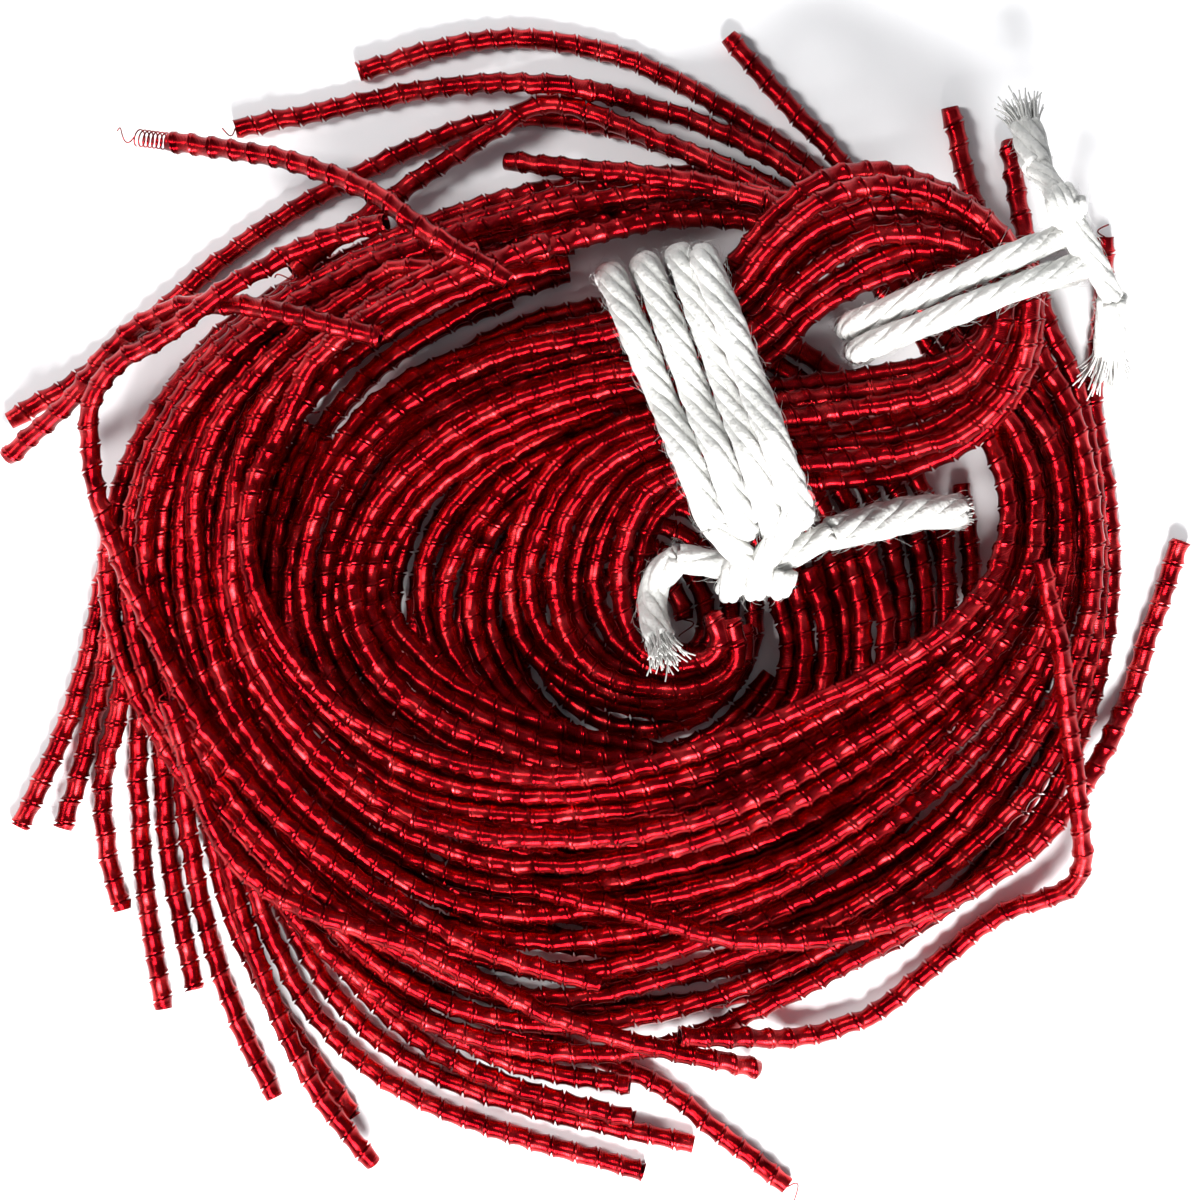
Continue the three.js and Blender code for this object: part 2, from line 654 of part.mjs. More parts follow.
for (const item of [...strands, ...tails]) {
  const isStrand = strands.includes(item);
  const sides = isStrand ? STRAND_SIDES : YARN_SIDES;
  const look = isStrand ? RED_WIRE : WHITE_COTTON;
  hank.add(solid(item.name, item.points, item.points.map(() => item.radius), sides, look));
}
for (const item of knots) {
  const { path, radii } = knotPath(item.points, item.radius);
  hank.add(solid(item.name, path, radii, YARN_SIDES, WHITE_COTTON));
}
for (const [name, tie, turns] of [
  ["centre_tie_turns", centreTie, CENTRE_TURNS],
  ["fold_tie_turns", foldTie, FOLD_TURNS],
]) {
  const path = tiePath(tie, turns);
  hank.add(solid(name, path, path.map(() => tie.upper[0].radius), YARN_SIDES, WHITE_COTTON));
}
for (const mesh of hank.children) {
  mesh.geometry.translate(-PLAN_CENTRE[0], -PLAN_CENTRE[1], 0);
}

export default hank;
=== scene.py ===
"""A hank of crimped metal purl tied with cotton yarn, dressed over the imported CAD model.

Lengths in the tables are millimetres, as in the part's source. Blender objects are in metres.
"""
import math

import bpy
import numpy as np
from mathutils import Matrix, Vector


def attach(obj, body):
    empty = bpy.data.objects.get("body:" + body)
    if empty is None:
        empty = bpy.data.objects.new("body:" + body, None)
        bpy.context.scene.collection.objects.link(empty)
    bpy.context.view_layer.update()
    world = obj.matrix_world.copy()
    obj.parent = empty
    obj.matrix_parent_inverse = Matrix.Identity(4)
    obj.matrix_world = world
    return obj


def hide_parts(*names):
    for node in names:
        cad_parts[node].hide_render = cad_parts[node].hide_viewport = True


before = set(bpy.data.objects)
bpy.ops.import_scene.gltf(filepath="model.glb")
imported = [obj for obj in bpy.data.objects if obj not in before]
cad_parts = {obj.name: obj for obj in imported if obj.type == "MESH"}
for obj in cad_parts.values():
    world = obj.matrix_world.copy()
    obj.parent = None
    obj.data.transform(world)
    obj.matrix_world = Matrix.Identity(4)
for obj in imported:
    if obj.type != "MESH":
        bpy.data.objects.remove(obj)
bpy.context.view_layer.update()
MM = 0.001

# ---- sizes of the laid hank, as in the part's source ----
STRAND_RADIUS = 1.0
STRAND_SIDES = 6
CENTRE_YARN_RADIUS = 1.5
FOLD_YARN_RADIUS = 1.3
RIGHT_TAIL_RADIUS = 1.8
KNOT_RADIUS = 2.6
FOLD_KNOT_RADIUS = 2.0
FOLD_TAIL_RADIUS = 1.6
AIR_GAP = 0.15
MAX_SLOPE = 0.45
YARN_SLOPE = 0.9
STEP_LENGTH = 9.0
STEP_TURN = 0.4
SWAY = 0.35
LEG_BULGE = 1.0
LEG_ANGLES = (-25, 25)
PLAN_CENTRE = (-0.349, -1.141)

# Levels: a run more than LEVEL_BAND above another crosses over it.
LEVEL_BAND = 2.5
LEVEL_COIL = -10
LEVEL_UNDER = -5
LEVEL_LOW = 0
LEVEL_RING = 3
LEVEL_LOBE = 5
LEVEL_TIE = 20
LANE_LAYERS = 3
STACK_PASSES = 600
NEAR_SHARES = (0, 0.25, 0.5, 0.75, 1)
SLOPE_ALLOWANCE = 1.06
SELF_REACH = 9

# ---- lane tables: [x, y of the first lane, x, y of the last lane] ----

# From under the centre tie's right tail, round the left, over the folded lobe, into the curl.
LOBE_LANES = 7
LOBE_CLIMB = [10, 15]  # rows over which a lobe run climbs from the low level to its own
LOBE_ROWS = [
    [17.5, 1.5, 28.5, 7.5],
    [19, -3, 30.5, 0],
    [19, -8, 30.5, -8],
    [16.5, -12.5, 27, -15.5],
    [11.5, -15, 20, -21],
    [5, -15.2, 9, -24],
    [-2.5, -13.7, -3, -24.5],
    [-10, -10.7, -14.5, -21.5],
    [-16.8, -7.2, -24, -15.5],
    [-20.8, -3, -29.5, -8],
    [-22.2, 2.2, -31.7, 0],
    [-20, 8, -30, 9],
    [-15, 13, -25.5, 17.5],
    [-7, 17.5, -17, 23.5],
    [2, 20.2, -8, 26.8],
    [9, 21.2, 2, 28.2],
    [15, 23.2, 12.2, 31],
    [18.5, 25.5, 15.2, 36],
    [22.3, 29.4, 20, 41],
    [26.8, 32.2, 27, 43],
    [33, 34, 35, 41.2],
    [37.5, 33.4, 41, 36.4],
    [39.3, 30, 43.8, 30.5],
    [37.8, 25.4, 43, 23.5],
    [33, 23.4, 39, 16.5],
    [26.8, 22.4, 32, 13],
    [19, 21.6, 23, 12],
    [12, 20.3, 15.5, 12],
    [4, 18.6, 10, 11.9],
    [-3, 15.5, 6, 10],
    [-7.8, 9, 4.5, 5.5],
    [-9.7, 2, 3.8, 1.5],
    [-8, -4.5, 4.5, -2],
    [-2.5, -9.5, 6.2, -4.8],
    [5, -11.3, 9, -6],
    [11.5, -10.5, 11.2, -5],
    [15.2, -6.8, 11.8, -3.2],
    [14.8, -2.5, 10.8, -1.5],
]

# From the right edge, along the bottom and up the left side to the top.
RING_LANES = 12
RING_ROWS = [
    [49.5, 21.5, 39, 17],
    [51.2, 12, 41.5, 9],
    [52.2, 1, 39, 0],
    [50.5, -10, 30.5, -5.8],
    [46, -20, 20, -10.6],
    [38.5, -28.5, 10, -15],
    [28, -35.5, 0, -17.6],
    [16, -41.5, -10, -17],
    [4, -46, -18, -15.5],
    [-8, -46, -25.5, -11.5],
    [-20, -41.5, -30.5, -6],
    [-31, -32, -34.6, 1],
    [-41, -20, -36, 9],
    [-48, -8, -32, 16.5],
    [-50, 4, -29, 23],
    [-47.5, 15, -22.5, 28.5],
    [-41, 24.5, -14, 32],
    [-30, 32.5, -5, 35],
]

# Where each ring run starts before it joins the lanes. The runs past the last one have no head.
RING_HEADS = [
    [[51.2, 36.8], [51.4, 30]],
    [[41.5, 46.5], [42.2, 41.5], [43, 36], [44.5, 29]],
    [[35.5, 50], [36.5, 45], [38.5, 38], [42, 29]],
    [[13, 57.2], [19, 50.2], [25, 44], [32, 36], [39, 27]],
    [
        [-24.5, 53.5], [-17, 56], [-7.5, 57.4], [2, 55.5], [10, 51.5], [18, 46.5], [26, 40], [34, 31],
        [40, 24],
    ],
    [
        [-37, 47.8], [-30, 49.2], [-20, 51.5], [-10, 52.6], [-1, 51.6], [8, 49.2], [16, 45.8], [24, 40],
        [32, 31], [38, 23],
    ],
    [
        [-60, 18.2], [-54, 21.5], [-48, 26], [-40, 33.5], [-32, 39.2], [-24, 43.5], [-15, 47.8],
        [-7, 49.6], [1, 48], [10, 45], [18, 41.5], [27, 36], [34, 27],
    ],
    [
        [-31, 33], [-21, 40.8], [-15, 45], [-9.5, 48.2], [-6.8, 50.4], [-2.5, 50], [4, 47], [12, 43.5],
        [20, 39], [29, 31], [35, 23],
    ],
    [[-9.5, 44.3], [-3, 43.5], [4, 42.5], [12, 41.4], [20, 38], [28.5, 33], [36, 25]],
]

# The first ring runs carry on to the right along the top and end under the lobe.
TOP_LANES = 6
TOP_ROWS = [
    [-18, 37.5, -17, 32.5],
    [-8, 41.2, -8, 33.8],
    [2, 42.8, 2, 37.2],
    [11, 43.4, 11.5, 39.2],
    [20, 41, 19, 37],
]

# From the top, down the left side, fanning out into loose ends.
FAN_LANES = 12
FAN_ROWS = [
    [-3, 40.5, -3, 32],
    [-14, 40, -12, 29.5],
    [-31, 32.5, -22, 23],
    [-41.5, 24.5, -27, 16.5],
    [-48, 12.5, -30.5, 8],
    [-51, 1, -31, -2],
    [-52, -8, -31.5, -12],
]
FAN_LATE_ROW = 3  # every second fan run starts at this row, under the ring runs
FAN_ENDS = [
    [[-55, -15], [-59, -23]],
    [[-52.5, -16], [-54.5, -23.2]],
    [[-51, -19], [-50, -26], [-48.5, -31.5]],
    [[-47, -20], [-46, -31], [-44.2, -41.5]],
    [[-44.5, -20], [-43.2, -30], [-41, -39.5]],
    [[-42, -23], [-39, -38], [-33, -50.5]],
    [[-40, -23], [-36, -37], [-25, -52.5]],
    [[-38.5, -24], [-34, -39], [-29, -49.5], [-23, -57]],
    [[-36.5, -25], [-31, -40], [-23, -48.5], [-12, -53.5], [4.5, -58]],
    [[-34.5, -26], [-28.5, -39], [-20, -47], [-8, -51.5], [9.5, -55.2]],
    [[-32.5, -27], [-26, -38], [-17, -46], [-7, -50], [3.5, -52.5]],
    [[-30, -28], [-23, -38], [-14, -45], [-6, -47.8], [3, -49]],
]

# Low runs that fill the hank under the ring and between the arcs and the curl.
LOW_BANDS = {
    "inner_strand": {
        "lanes": 4,
        "rows": [
            [6, 14, 1, 19], [-2, 11, -9, 15.5], [-9, 6.5, -15, 9.5], [-11.5, 0, -18.5, 2],
            [-10, -7, -17, -6], [-4, -13.5, -10, -12.5], [3, -17.5, -2, -18], [10, -18.5, 9, -23],
        ],
   },
    "under_knot_strand": {
        "lanes": 3,
        "rows": [
            [31.5, 8, 37, 12], [33, 0, 38, 2], [32.5, -8, 36.5, -8], [28, -16, 32, -16.5],
            [20, -22.5, 24, -24.5], [10, -26, 12, -30], [0, -27, 0, -32], [-12, -24, -14, -30],
        ],
   },
    "bottom_strand": {
        "lanes": 3,
        "rows": [
            [43, -9, 47, -13], [38, -20, 42, -24], [30, -28, 33, -33], [18, -33, 20, -39],
            [4, -35.5, 4, -42], [-9, -34, -11, -41], [-20, -28, -23, -34], [-28, -19, -32, -24],
        ],
   },
}

# Flat coils under the whole hank, each going on where the one inside it ends.
COIL_CENTRE = [4, -2]
COIL_STARTS = [4.5, 14.5, 24.5]  # inner radius of each coil
COIL_SPACING = 2.5
COIL_TURNS = 3.94
COIL_POINTS = 16  # route points to a turn

# Single runs.
SINGLE_ROUTES = {
    "opened_end_strand": [
        [-46.5, 46.5], [-37, 45], [-27, 42.8], [-20, 38.8], [-15, 34.6], [-9, 31.4],
    ],
    "left_exit_strand": [
        [-60, 14.5], [-54, 19.2], [-50, 24], [-45.5, 28.2], [-40, 29.7], [-33, 28.8], [-26, 27],
        [-21.5, 25.8],
    ],
    "left_cross_strand": [
        [-21, 37.2], [-30, 35], [-38, 30], [-45, 25], [-50.2, 22.5], [-51.6, 17], [-50.5, 10], [-47.5, 3],
        [-44, -5], [-39.5, -13.5], [-33, -21], [-26, -27], [-18, -31.5], [-10, -36], [0, -38.5],
    ],
    "lower_cross_strand": [
        [-43, -10], [-40, -20], [-36, -27.8], [-28, -31.5], [-18, -34.8], [-9, -40], [0, -44], [8, -45.5],
        [16, -47.5],
    ],
    "right_outer_strand": [
        [59, 6], [56.5, -1], [54.5, -8], [50, -17.5], [44, -25], [36, -30], [25, -34], [14, -34.5],
        [4, -31.5], [-6, -29],
    ],
    "kinked_strand": [
        [44, 4], [46, -4], [47, -12], [48, -20], [48.6, -26], [48.2, -29.4], [45, -29.8], [39, -32.5],
        [34, -37], [29, -41.5], [23, -44.3], [16, -44.2], [8, -44],
    ],
}
ARC_ROUTE = [[-31.5, -9], [-33, 1], [-32, 9], [-28.5, 17], [-23, 23.5], [-16, 28], [-9, 30.5]]
BOTTOM_EXIT_ROUTE = [
    [19, -59.5], [12, -54], [6, -49], [0, -46.2], [-10, -43.5], [-20, -38.5], [-27, -31],
]

# ---- yarn ties: straight turns from the near side of a bundle to its far side ----
CENTRE_TURNS = [
    {"near": [10.8, 8.6], "far": [1.6, 31]},
    {"near": [13.8, 8.6], "far": [5.1, 32]},
    {"near": [16.8, 8.6], "far": [8.5, 32.8]},
    {"near": [19.2, 9.8], "far": [10.7, 32.6]},
]
FOLD_TURNS = [
    {"near": [45.8, 36], "far": [26.4, 28]},
    {"near": [47, 33], "far": [27.3, 25.5]},
]
CENTRE_KNOT = [[12.8, 2.7], [18.4, 2.9]]
CENTRE_TAIL_RIGHT = [[23, 6.6], [26, 8], [30.5, 8.8], [36.2, 8.9]]
CENTRE_TAIL_LEFT = [[8, 4.2], [5.6, 2.6], [4.9, -0.8], [6, -4]]
FOLD_KNOT = [[44.9, 38.7], [46.7, 39.4]]
FOLD_TAIL_TOP = [[43.4, 42.8], [42.8, 44.8], [42.6, 47.2]]
FOLD_TAIL_SIDE = [[50.8, 30], [51.3, 27.4], [51, 24.8]]

# The least height of each knot, and of a tail's loose end.
CENTRE_KNOT_HEIGHT = 11
FOLD_KNOT_HEIGHT = 15
TAIL_END_HEIGHT = 4

# ---- finish of the strands: a crimp is a narrow notch between two rims ----
CRIMP_PITCH = 2.3
CRIMP_SHAPE = (
    (0.0, 0.70), (0.07, 1.15), (0.10, 1.13), (0.155, 1.04), (0.28, 0.97),
    (0.50, 0.93), (0.72, 0.97), (0.845, 1.04), (0.90, 1.13), (0.93, 1.15),
)
CRIMP_TILT = 0.25
CRIMP_WANDER = 0.065
MAX_WANDER = 0.16
MAX_SWELL = 1.17
PITCH_RANGE = (0.94, 1.06)  # how the crimps' pitch varies from strand to strand
STEP_RANGE = (0.93, 1.07)  # and from crimp to crimp
SWELL_RANGE = (0.975, 1.025)
CUT_MARGIN = 0.15  # no crimp's ring lies nearer to a cut end
CUT_SHARE = 0.9
WALL_SHARE = 0.72  # the hollow's radius, as a share of the strand's
HOLLOW_DEPTH = 1.6  # how far in the hollow is modelled
LIP = 0.02
RING_SIDES = 14
WIRE_PITCH = 0.17
OPENED_TURNS = 7
OPENED_PITCH = 0.5
OPENED_SHARE = 0.86
OPENED_WIRE = 0.09
STRAY_WIRE = 0.075
STRAY_EVERY = 3  # every third strand has a loose wire at its start
STRAND_SEED = 100

# ---- finish of the yarn ----
PLIES = 6
PLY_SIDES = 10
PLY_OFFSET = 0.58  # a ply's distance from the yarn's middle and its radius, as shares of the yarn's
PLY_SHARE = 0.46
TWIST_LENGTH = 19.0
HAIRS_PER_MM = 12
HAIR_RADIUS = 0.02
FRAY_RADIUS = 0.13
FRAY_FLOOR = 0.25
KNOT_YARN_SHARE = 0.92
KNOT_COIL_TURNS = 2.25
LINK_START = 0.12
LINK_RISE = 0.5
TAIL_HAIRS = 1.5  # a tail is this much hairier than the turns
YARN_SEED = 301

# Each tail's frayed end: its length, how far it spreads, and its number of thin strands.
TAIL_FRAYS = {
    "centre_tie_tail_right": (0.9, 0.1, 140),
    "centre_tie_tail_left": (4.0, 0.5, 60),
    "fold_tie_tail_top": (4.0, 0.6, 90),
    "fold_tie_tail_side": (4.5, 0.9, 90),
}

# ---- stage, in metres and watts ----
CAMERA_HEIGHT = 0.62
FOCUS_HEIGHT = 0.010
VIEW_WIDTH = 0.120
WORLD_STRENGTH = 0.28
FLOOR_HALF = 2.0
FLOOR_DROP = 0.00005
LIGHTS = [
    ("key", (0.08, -0.48, 0.40), 0.24, 13.0),
    ("fill", (-0.50, 0.16, 0.55), 0.20, 4.5),
]


# ---- plan routes ----
def lane_route(rows, share, number):
    """One lane's route between the first and the last lane, wandering a little."""
    return [
        (
            x0 + (x1 - x0) * share + SWAY * math.sin(1.7 * row + 2.3 * number),
            y0 + (y1 - y0) * share + SWAY * math.cos(2.1 * row + 1.9 * number),
        )
        for row, (x0, y0, x1, y1) in enumerate(rows)
    ]


def with_level(points, level):
    return [(p[0], p[1], level) for p in points]


def round_corners(route):
    """Corner cutting: keeps the two ends and rounds every corner between them."""
    points = np.array(route, float)
    for _ in range(3):
        near = 0.75 * points[:-1] + 0.25 * points[1:]
        far = 0.25 * points[:-1] + 0.75 * points[1:]
        middle = np.stack([near, far], axis=1).reshape(-1, 3)
        points = np.vstack([points[:1], middle, points[-1:]])
    return points


def stations_of(points):
    """Long steps where the route runs straight, short ones in its bends."""
    stations = [points[0]]
    length = 0.0
    turn = 0.0
    for before, here, after in zip(points[:-2], points[1:-1], points[2:]):
        ax, ay = here[:2] - before[:2]
        bx, by = after[:2] - here[:2]
        length += math.hypot(ax, ay)
        turn += abs(math.atan2(ax * by - ay * bx, ax * bx + ay * by))
        if length + math.hypot(bx, by) > STEP_LENGTH or turn > STEP_TURN:
            stations.append(here)
            length = 0.0
            turn = 0.0
    stations.append(points[-1])
    return np.array(stations)


def run(name, route, radius, rest=None, slope=MAX_SLOPE):
    stations = stations_of(round_corners(route))
    steps = np.hypot(*np.diff(stations[:, :2], axis=0).T)
    arc = np.concatenate([[0.0], np.cumsum(steps)])
    rests = np.full(len(arc), radius if rest is None else rest)
    return {
        "name": name, "radius": radius, "stations": stations, "arc": arc, "rests": rests,
        "slope": slope,
    }


def lanes_in_order(count):
    """Every third lane lies first, and the others rest between them."""
    return [i for layer in range(LANE_LAYERS) for i in range(layer, count, LANE_LAYERS)]


def lobe_level(row):
    share = (row - LOBE_CLIMB[0]) / (LOBE_CLIMB[1] - LOBE_CLIMB[0])
    return LEVEL_LOW + (LEVEL_LOBE - LEVEL_LOW) * min(1, max(0, share))


def coil_route(inner):
    """A flat coil of a few turns, starting at that radius."""
    angles = 2 * math.pi * np.arange(round(COIL_TURNS * COIL_POINTS) + 1) / COIL_POINTS
    radii = inner + COIL_SPACING * angles / (2 * math.pi)
    x = COIL_CENTRE[0] + radii * np.cos(angles)
    y = COIL_CENTRE[1] + radii * np.sin(angles)
    return list(zip(x, y))


def strand_runs():
    runs = []
    rest = STRAND_RADIUS * math.cos(math.pi / STRAND_SIDES)

    def add(name, route):
        runs.append(run(name, route, STRAND_RADIUS, rest))

    for i, inner in enumerate(COIL_STARTS):
        add(f"bottom_coil_{i + 1}", with_level(coil_route(inner), LEVEL_COIL))
    add("bottom_exit_strand", with_level(BOTTOM_EXIT_ROUTE, LEVEL_LOW))
    add("arc_strand", with_level(ARC_ROUTE, LEVEL_LOW))
    for name, band in LOW_BANDS.items():
        for i in lanes_in_order(band["lanes"]):
            lane = lane_route(band["rows"], i / (band["lanes"] - 1), i)
            add(f"{name}_{i + 1}", with_level(lane, LEVEL_LOW))
    for i in lanes_in_order(FAN_LANES):
        lane = lane_route(FAN_ROWS, i / (FAN_LANES - 1), i)[FAN_LATE_ROW if i % 2 else 0:]
        add(f"fan_strand_{i + 1:02d}", with_level(lane + FAN_ENDS[i], LEVEL_LOW))
    for i in lanes_in_order(RING_LANES):
        head = RING_HEADS[i] if i < len(RING_HEADS) else []
        top = lane_route(TOP_ROWS, i / (TOP_LANES - 1), i) if i < TOP_LANES else []
        route = head + lane_route(RING_ROWS, i / (RING_LANES - 1), i) + top
        add(f"ring_strand_{i + 1:02d}", with_level(route, LEVEL_RING))
    for name, route in SINGLE_ROUTES.items():
        add(name, with_level(route, LEVEL_RING))
    for i in lanes_in_order(LOBE_LANES):
        lane = lane_route(LOBE_ROWS, i / (LOBE_LANES - 1), i)
        add(f"lobe_strand_{i + 1}", [(x, y, lobe_level(row)) for row, (x, y) in enumerate(lane)])
    return runs


def yarn_run(start, end, level, radius):
    """A straight yarn run in four steps, a little longer than the bundle it holds."""
    start, end = np.array(start, float), np.array(end, float)
    over = LEG_BULGE / np.linalg.norm(end - start)
    shares = -over + (1 + 2 * over) * np.arange(5) / 4
    plan = start + (end - start) * shares[:, None]
    stations = np.column_stack([plan, np.full(5, float(level))])
    rests = np.full(5, radius)
    return {
        "radius": radius, "stations": stations, "arc": np.zeros(5), "rests": rests,
        "slope": MAX_SLOPE,
    }


def tie_runs(turns, radius):
    upper = [yarn_run(t["near"], t["far"], LEVEL_TIE, radius) for t in turns]
    lower = [yarn_run(a["far"], b["near"], LEVEL_UNDER, radius) for a, b in zip(turns, turns[1:])]
    return {"upper": upper, "lower": lower, "radius": radius, "turns": turns}


def knot_run(name, points, radius, height):
    stations = np.array(with_level(points, float(LEVEL_TIE)))
    rests = np.full(2, float(height))
    return {
        "name": name, "radius": radius, "stations": stations, "arc": np.zeros(2), "rests": rests,
        "slope": MAX_SLOPE,
    }


def tail_run(name, points, radius, height):
    """A loose tail: it leaves its knot at the knot's height and comes down to its end."""
    item = run(name, with_level(points, LEVEL_TIE), radius, slope=YARN_SLOPE)
    item["rests"] = height + (TAIL_END_HEIGHT - height) * item["arc"] / item["arc"][-1]
    return item


# ---- stacking: every run is lifted just clear of the runs below it ----
def project(points, a, b):
    """Each point's share along its segment, and its distance from it, in plan."""
    d = b - a
    square = np.maximum((d * d).sum(1), 1e-12)
    share = np.clip(((points - a) * d).sum(1) / square, 0, 1)
    return share, np.linalg.norm(a + d * share[:, None] - points, axis=1)


def near_points(a0, a1, b0, b1):
    """Where plan segments come near each other: (share of a, share of b, distance)."""
    for share in NEAR_SHARES:
        fixed = np.full(len(a0), float(share))
        v, gap = project(a0 + (a1 - a0) * share, b0, b1)
        yield fixed, v, gap
        u, gap = project(b0 + (b1 - b0) * share, a0, a1)
        yield u, fixed, gap
    da, db, across = a1 - a0, b1 - b0, b0 - a0
    cross = da[:, 0] * db[:, 1] - da[:, 1] * db[:, 0]
    safe = np.where(np.abs(cross) > 1e-9, cross, np.inf)
    u = (across[:, 0] * db[:, 1] - across[:, 1] * db[:, 0]) / safe
    v = (across[:, 0] * da[:, 1] - across[:, 1] * da[:, 0]) / safe
    meets = (u > 0) & (u < 1) & (v > 0) & (v < 1)
    yield u, v, np.where(meets, 0.0, np.inf)


def segments_of(runs):
    parts = {"start": [], "end": [], "run": [], "at": [], "radius": [], "from": [], "to": []}
    offset = 0
    for i, item in enumerate(runs):
        item["offset"] = offset
        count = len(item["stations"]) - 1
        parts["start"].append(item["stations"][:-1])
        parts["end"].append(item["stations"][1:])
        parts["run"].append(np.full(count, i))
        parts["at"].append(offset + np.arange(count))
        parts["radius"].append(np.full(count, item["radius"]))
        parts["from"].append(item["arc"][:-1])
        parts["to"].append(item["arc"][1:])
        offset += count + 1
    return {key: np.concatenate(value) for key, value in parts.items()}, offset


def near_pairs(s):
    """Index pairs of segments whose plan boxes are within reach of each other."""
    low = np.minimum(s["start"], s["end"])[:, :2]
    high = np.maximum(s["start"], s["end"])[:, :2]
    reach = s["radius"][:, None] + s["radius"][None, :] + AIR_GAP
    near = (low[:, None] - high[None] <= reach[..., None]).all(2)
    near &= (low[None] - high[:, None] <= reach[..., None]).all(2)
    later = s["run"][:, None] < s["run"][None, :]
    own = (s["run"][:, None] == s["run"][None, :]) & (s["at"][None, :] >= s["at"][:, None] + 2)
    own &= s["from"][None, :] - s["to"][:, None] >= SELF_REACH
    return np.nonzero(near & (later | own))


def contacts_of(s):
    """Arrays of (upper station, its share, lower station, its share, rise)."""
    i, j = near_pairs(s)
    reach = s["radius"][i] + s["radius"][j] + AIR_GAP
    ends = [s[key][index] for index in (i, j) for key in ("start", "end")]
    level = (ends[0][:, 2] + ends[1][:, 2] - ends[2][:, 2] - ends[3][:, 2]) / 2
    first_on_top = level > LEVEL_BAND
    found = []
    for u, v, gap in near_points(*[end[:, :2] for end in ends]):
        keep = gap < reach
        rise = SLOPE_ALLOWANCE * np.sqrt(reach[keep] ** 2 - gap[keep] ** 2)
        top = first_on_top[keep]
        a, b, u, v = s["at"][i[keep]], s["at"][j[keep]], u[keep], v[keep]
        upper = (np.where(top, a, b), np.where(top, u, v))
        lower = (np.where(top, b, a), np.where(top, v, u))
        found.append((*upper, *lower, rise))
    return [np.concatenate(column) for column in zip(*found)]


def limit_slope(heights, item):
    at = item["offset"]
    drops = item["drops"]
    for k, drop in enumerate(drops):
        heights[at + k + 1] = max(heights[at + k + 1], heights[at + k] - drop)
    for k in range(len(drops), 0, -1):
        heights[at + k - 1] = max(heights[at + k - 1], heights[at + k] - drops[k - 1])


def stack(runs):
    """Gives every run its points: its plan stations at the heights where it comes to lie."""
    segments, count = segments_of(runs)
    a, u, b, v, rise = contacts_of(segments)
    share = (1 - u) ** 2 + u ** 2
    heights = np.concatenate([item["rests"] for item in runs]).astype(float)
    for item in runs:
        steps = np.hypot(*np.diff(item["stations"][:, :2], axis=0).T)
        item["drops"] = [item["slope"] * step for step in steps]
    for _ in range(STACK_PASSES):
        upper = heights[a] * (1 - u) + heights[a + 1] * u
        lower = heights[b] * (1 - v) + heights[b + 1] * v
        lack = lower + rise - upper
        short = lack > 0
        if not short.any() or lack.max() <= 0.001:
            break
        raised = heights.copy()
        np.maximum.at(raised, a[short], (heights[a] + lack * (1 - u) / share)[short])
        np.maximum.at(raised, a[short] + 1, (heights[a + 1] + lack * u / share)[short])
        heights = raised.tolist()
        for item in runs:
            limit_slope(heights, item)
        heights = np.array(heights)
    shift = np.array([*PLAN_CENTRE, 0.0])
    for item in runs:
        count = len(item["stations"])
        z = heights[item["offset"]:item["offset"] + count]
        item["points"] = np.column_stack([item["stations"][:, :2], z]) - shift


# ---- centre lines ----
def resample(points, step):
    gaps = np.linalg.norm(np.diff(points, axis=0), axis=1)
    arc = np.concatenate([[0.0], np.cumsum(gaps)])
    count = max(4, int(round(arc[-1] / step)) + 1)
    at = np.linspace(0, arc[-1], count)
    return np.column_stack([np.interp(at, arc, points[:, k]) for k in range(3)])


def smooth(points, width):
    """A moving average that leaves the two ends where they are."""
    half = max(1, min(width, (len(points) - 1) // 2))
    counts = np.minimum(np.minimum(np.arange(len(points)), np.arange(len(points))[::-1]), half)
    sums = np.vstack([np.zeros(3), np.cumsum(points, axis=0)])
    index = np.arange(len(points))
    return (sums[index + counts + 1] - sums[index - counts]) / (2 * counts + 1)[:, None]


def rounded_line(points):
    """A smooth line through the stations: cubic in plan, straight steps in height."""
    steps = np.maximum(np.linalg.norm(np.diff(points, axis=0), axis=1), 1e-6)
    tangents = np.gradient(points, np.concatenate([[0.0], np.cumsum(steps)]), axis=0)
    tangents[:, 2] = 0
    dense = []
    for k, step in enumerate(steps):
        t = np.linspace(0, 1, max(3, int(step / 0.4)), endpoint=False)[:, None]
        a, b = points[k], points[k + 1]
        h1 = (1 + 2 * t) * (1 - t) ** 2
        h2 = t * (1 - t) ** 2
        h3 = t ** 2 * (t - 1)
        curve = h1 * a + (1 - h1) * b + step * (h2 * tangents[k] + h3 * tangents[k + 1])
        curve[:, 2] = (a + (b - a) * t)[:, 2]
        dense.append(curve)
    dense.append(points[-1:])
    line = resample(np.vstack(dense), 0.25)
    return smooth(smooth(line, 5), 5)


def arc_of(line):
    gaps = np.linalg.norm(np.diff(line, axis=0), axis=1)
    return np.concatenate([[0.0], np.cumsum(gaps)])


def level_frames(line):
    """Tangent, level side and upward vectors along a line that never stands upright."""
    tangent = np.gradient(line, axis=0)
    tangent /= np.linalg.norm(tangent, axis=1)[:, None]
    side = np.cross(tangent, [0, 0, 1.0])
    side /= np.linalg.norm(side, axis=1)[:, None]
    return tangent, side, np.cross(side, tangent)


def carried_frames(line):
    """Tangent, side and up vectors carried along a line that may turn any way."""
    tangent = np.gradient(line, axis=0)
    tangent /= np.maximum(np.linalg.norm(tangent, axis=1), 1e-9)[:, None]
    side = np.cross(tangent[0], [0, 0, 1.0])
    if np.linalg.norm(side) < 0.1:
        side = np.array([1.0, 0, 0])
    sides = []
    for t in tangent:
        side = side - t * side.dot(t)
        side = side / np.linalg.norm(side)
        sides.append(side)
    sides = np.array(sides)
    return tangent, sides, np.cross(sides, tangent)


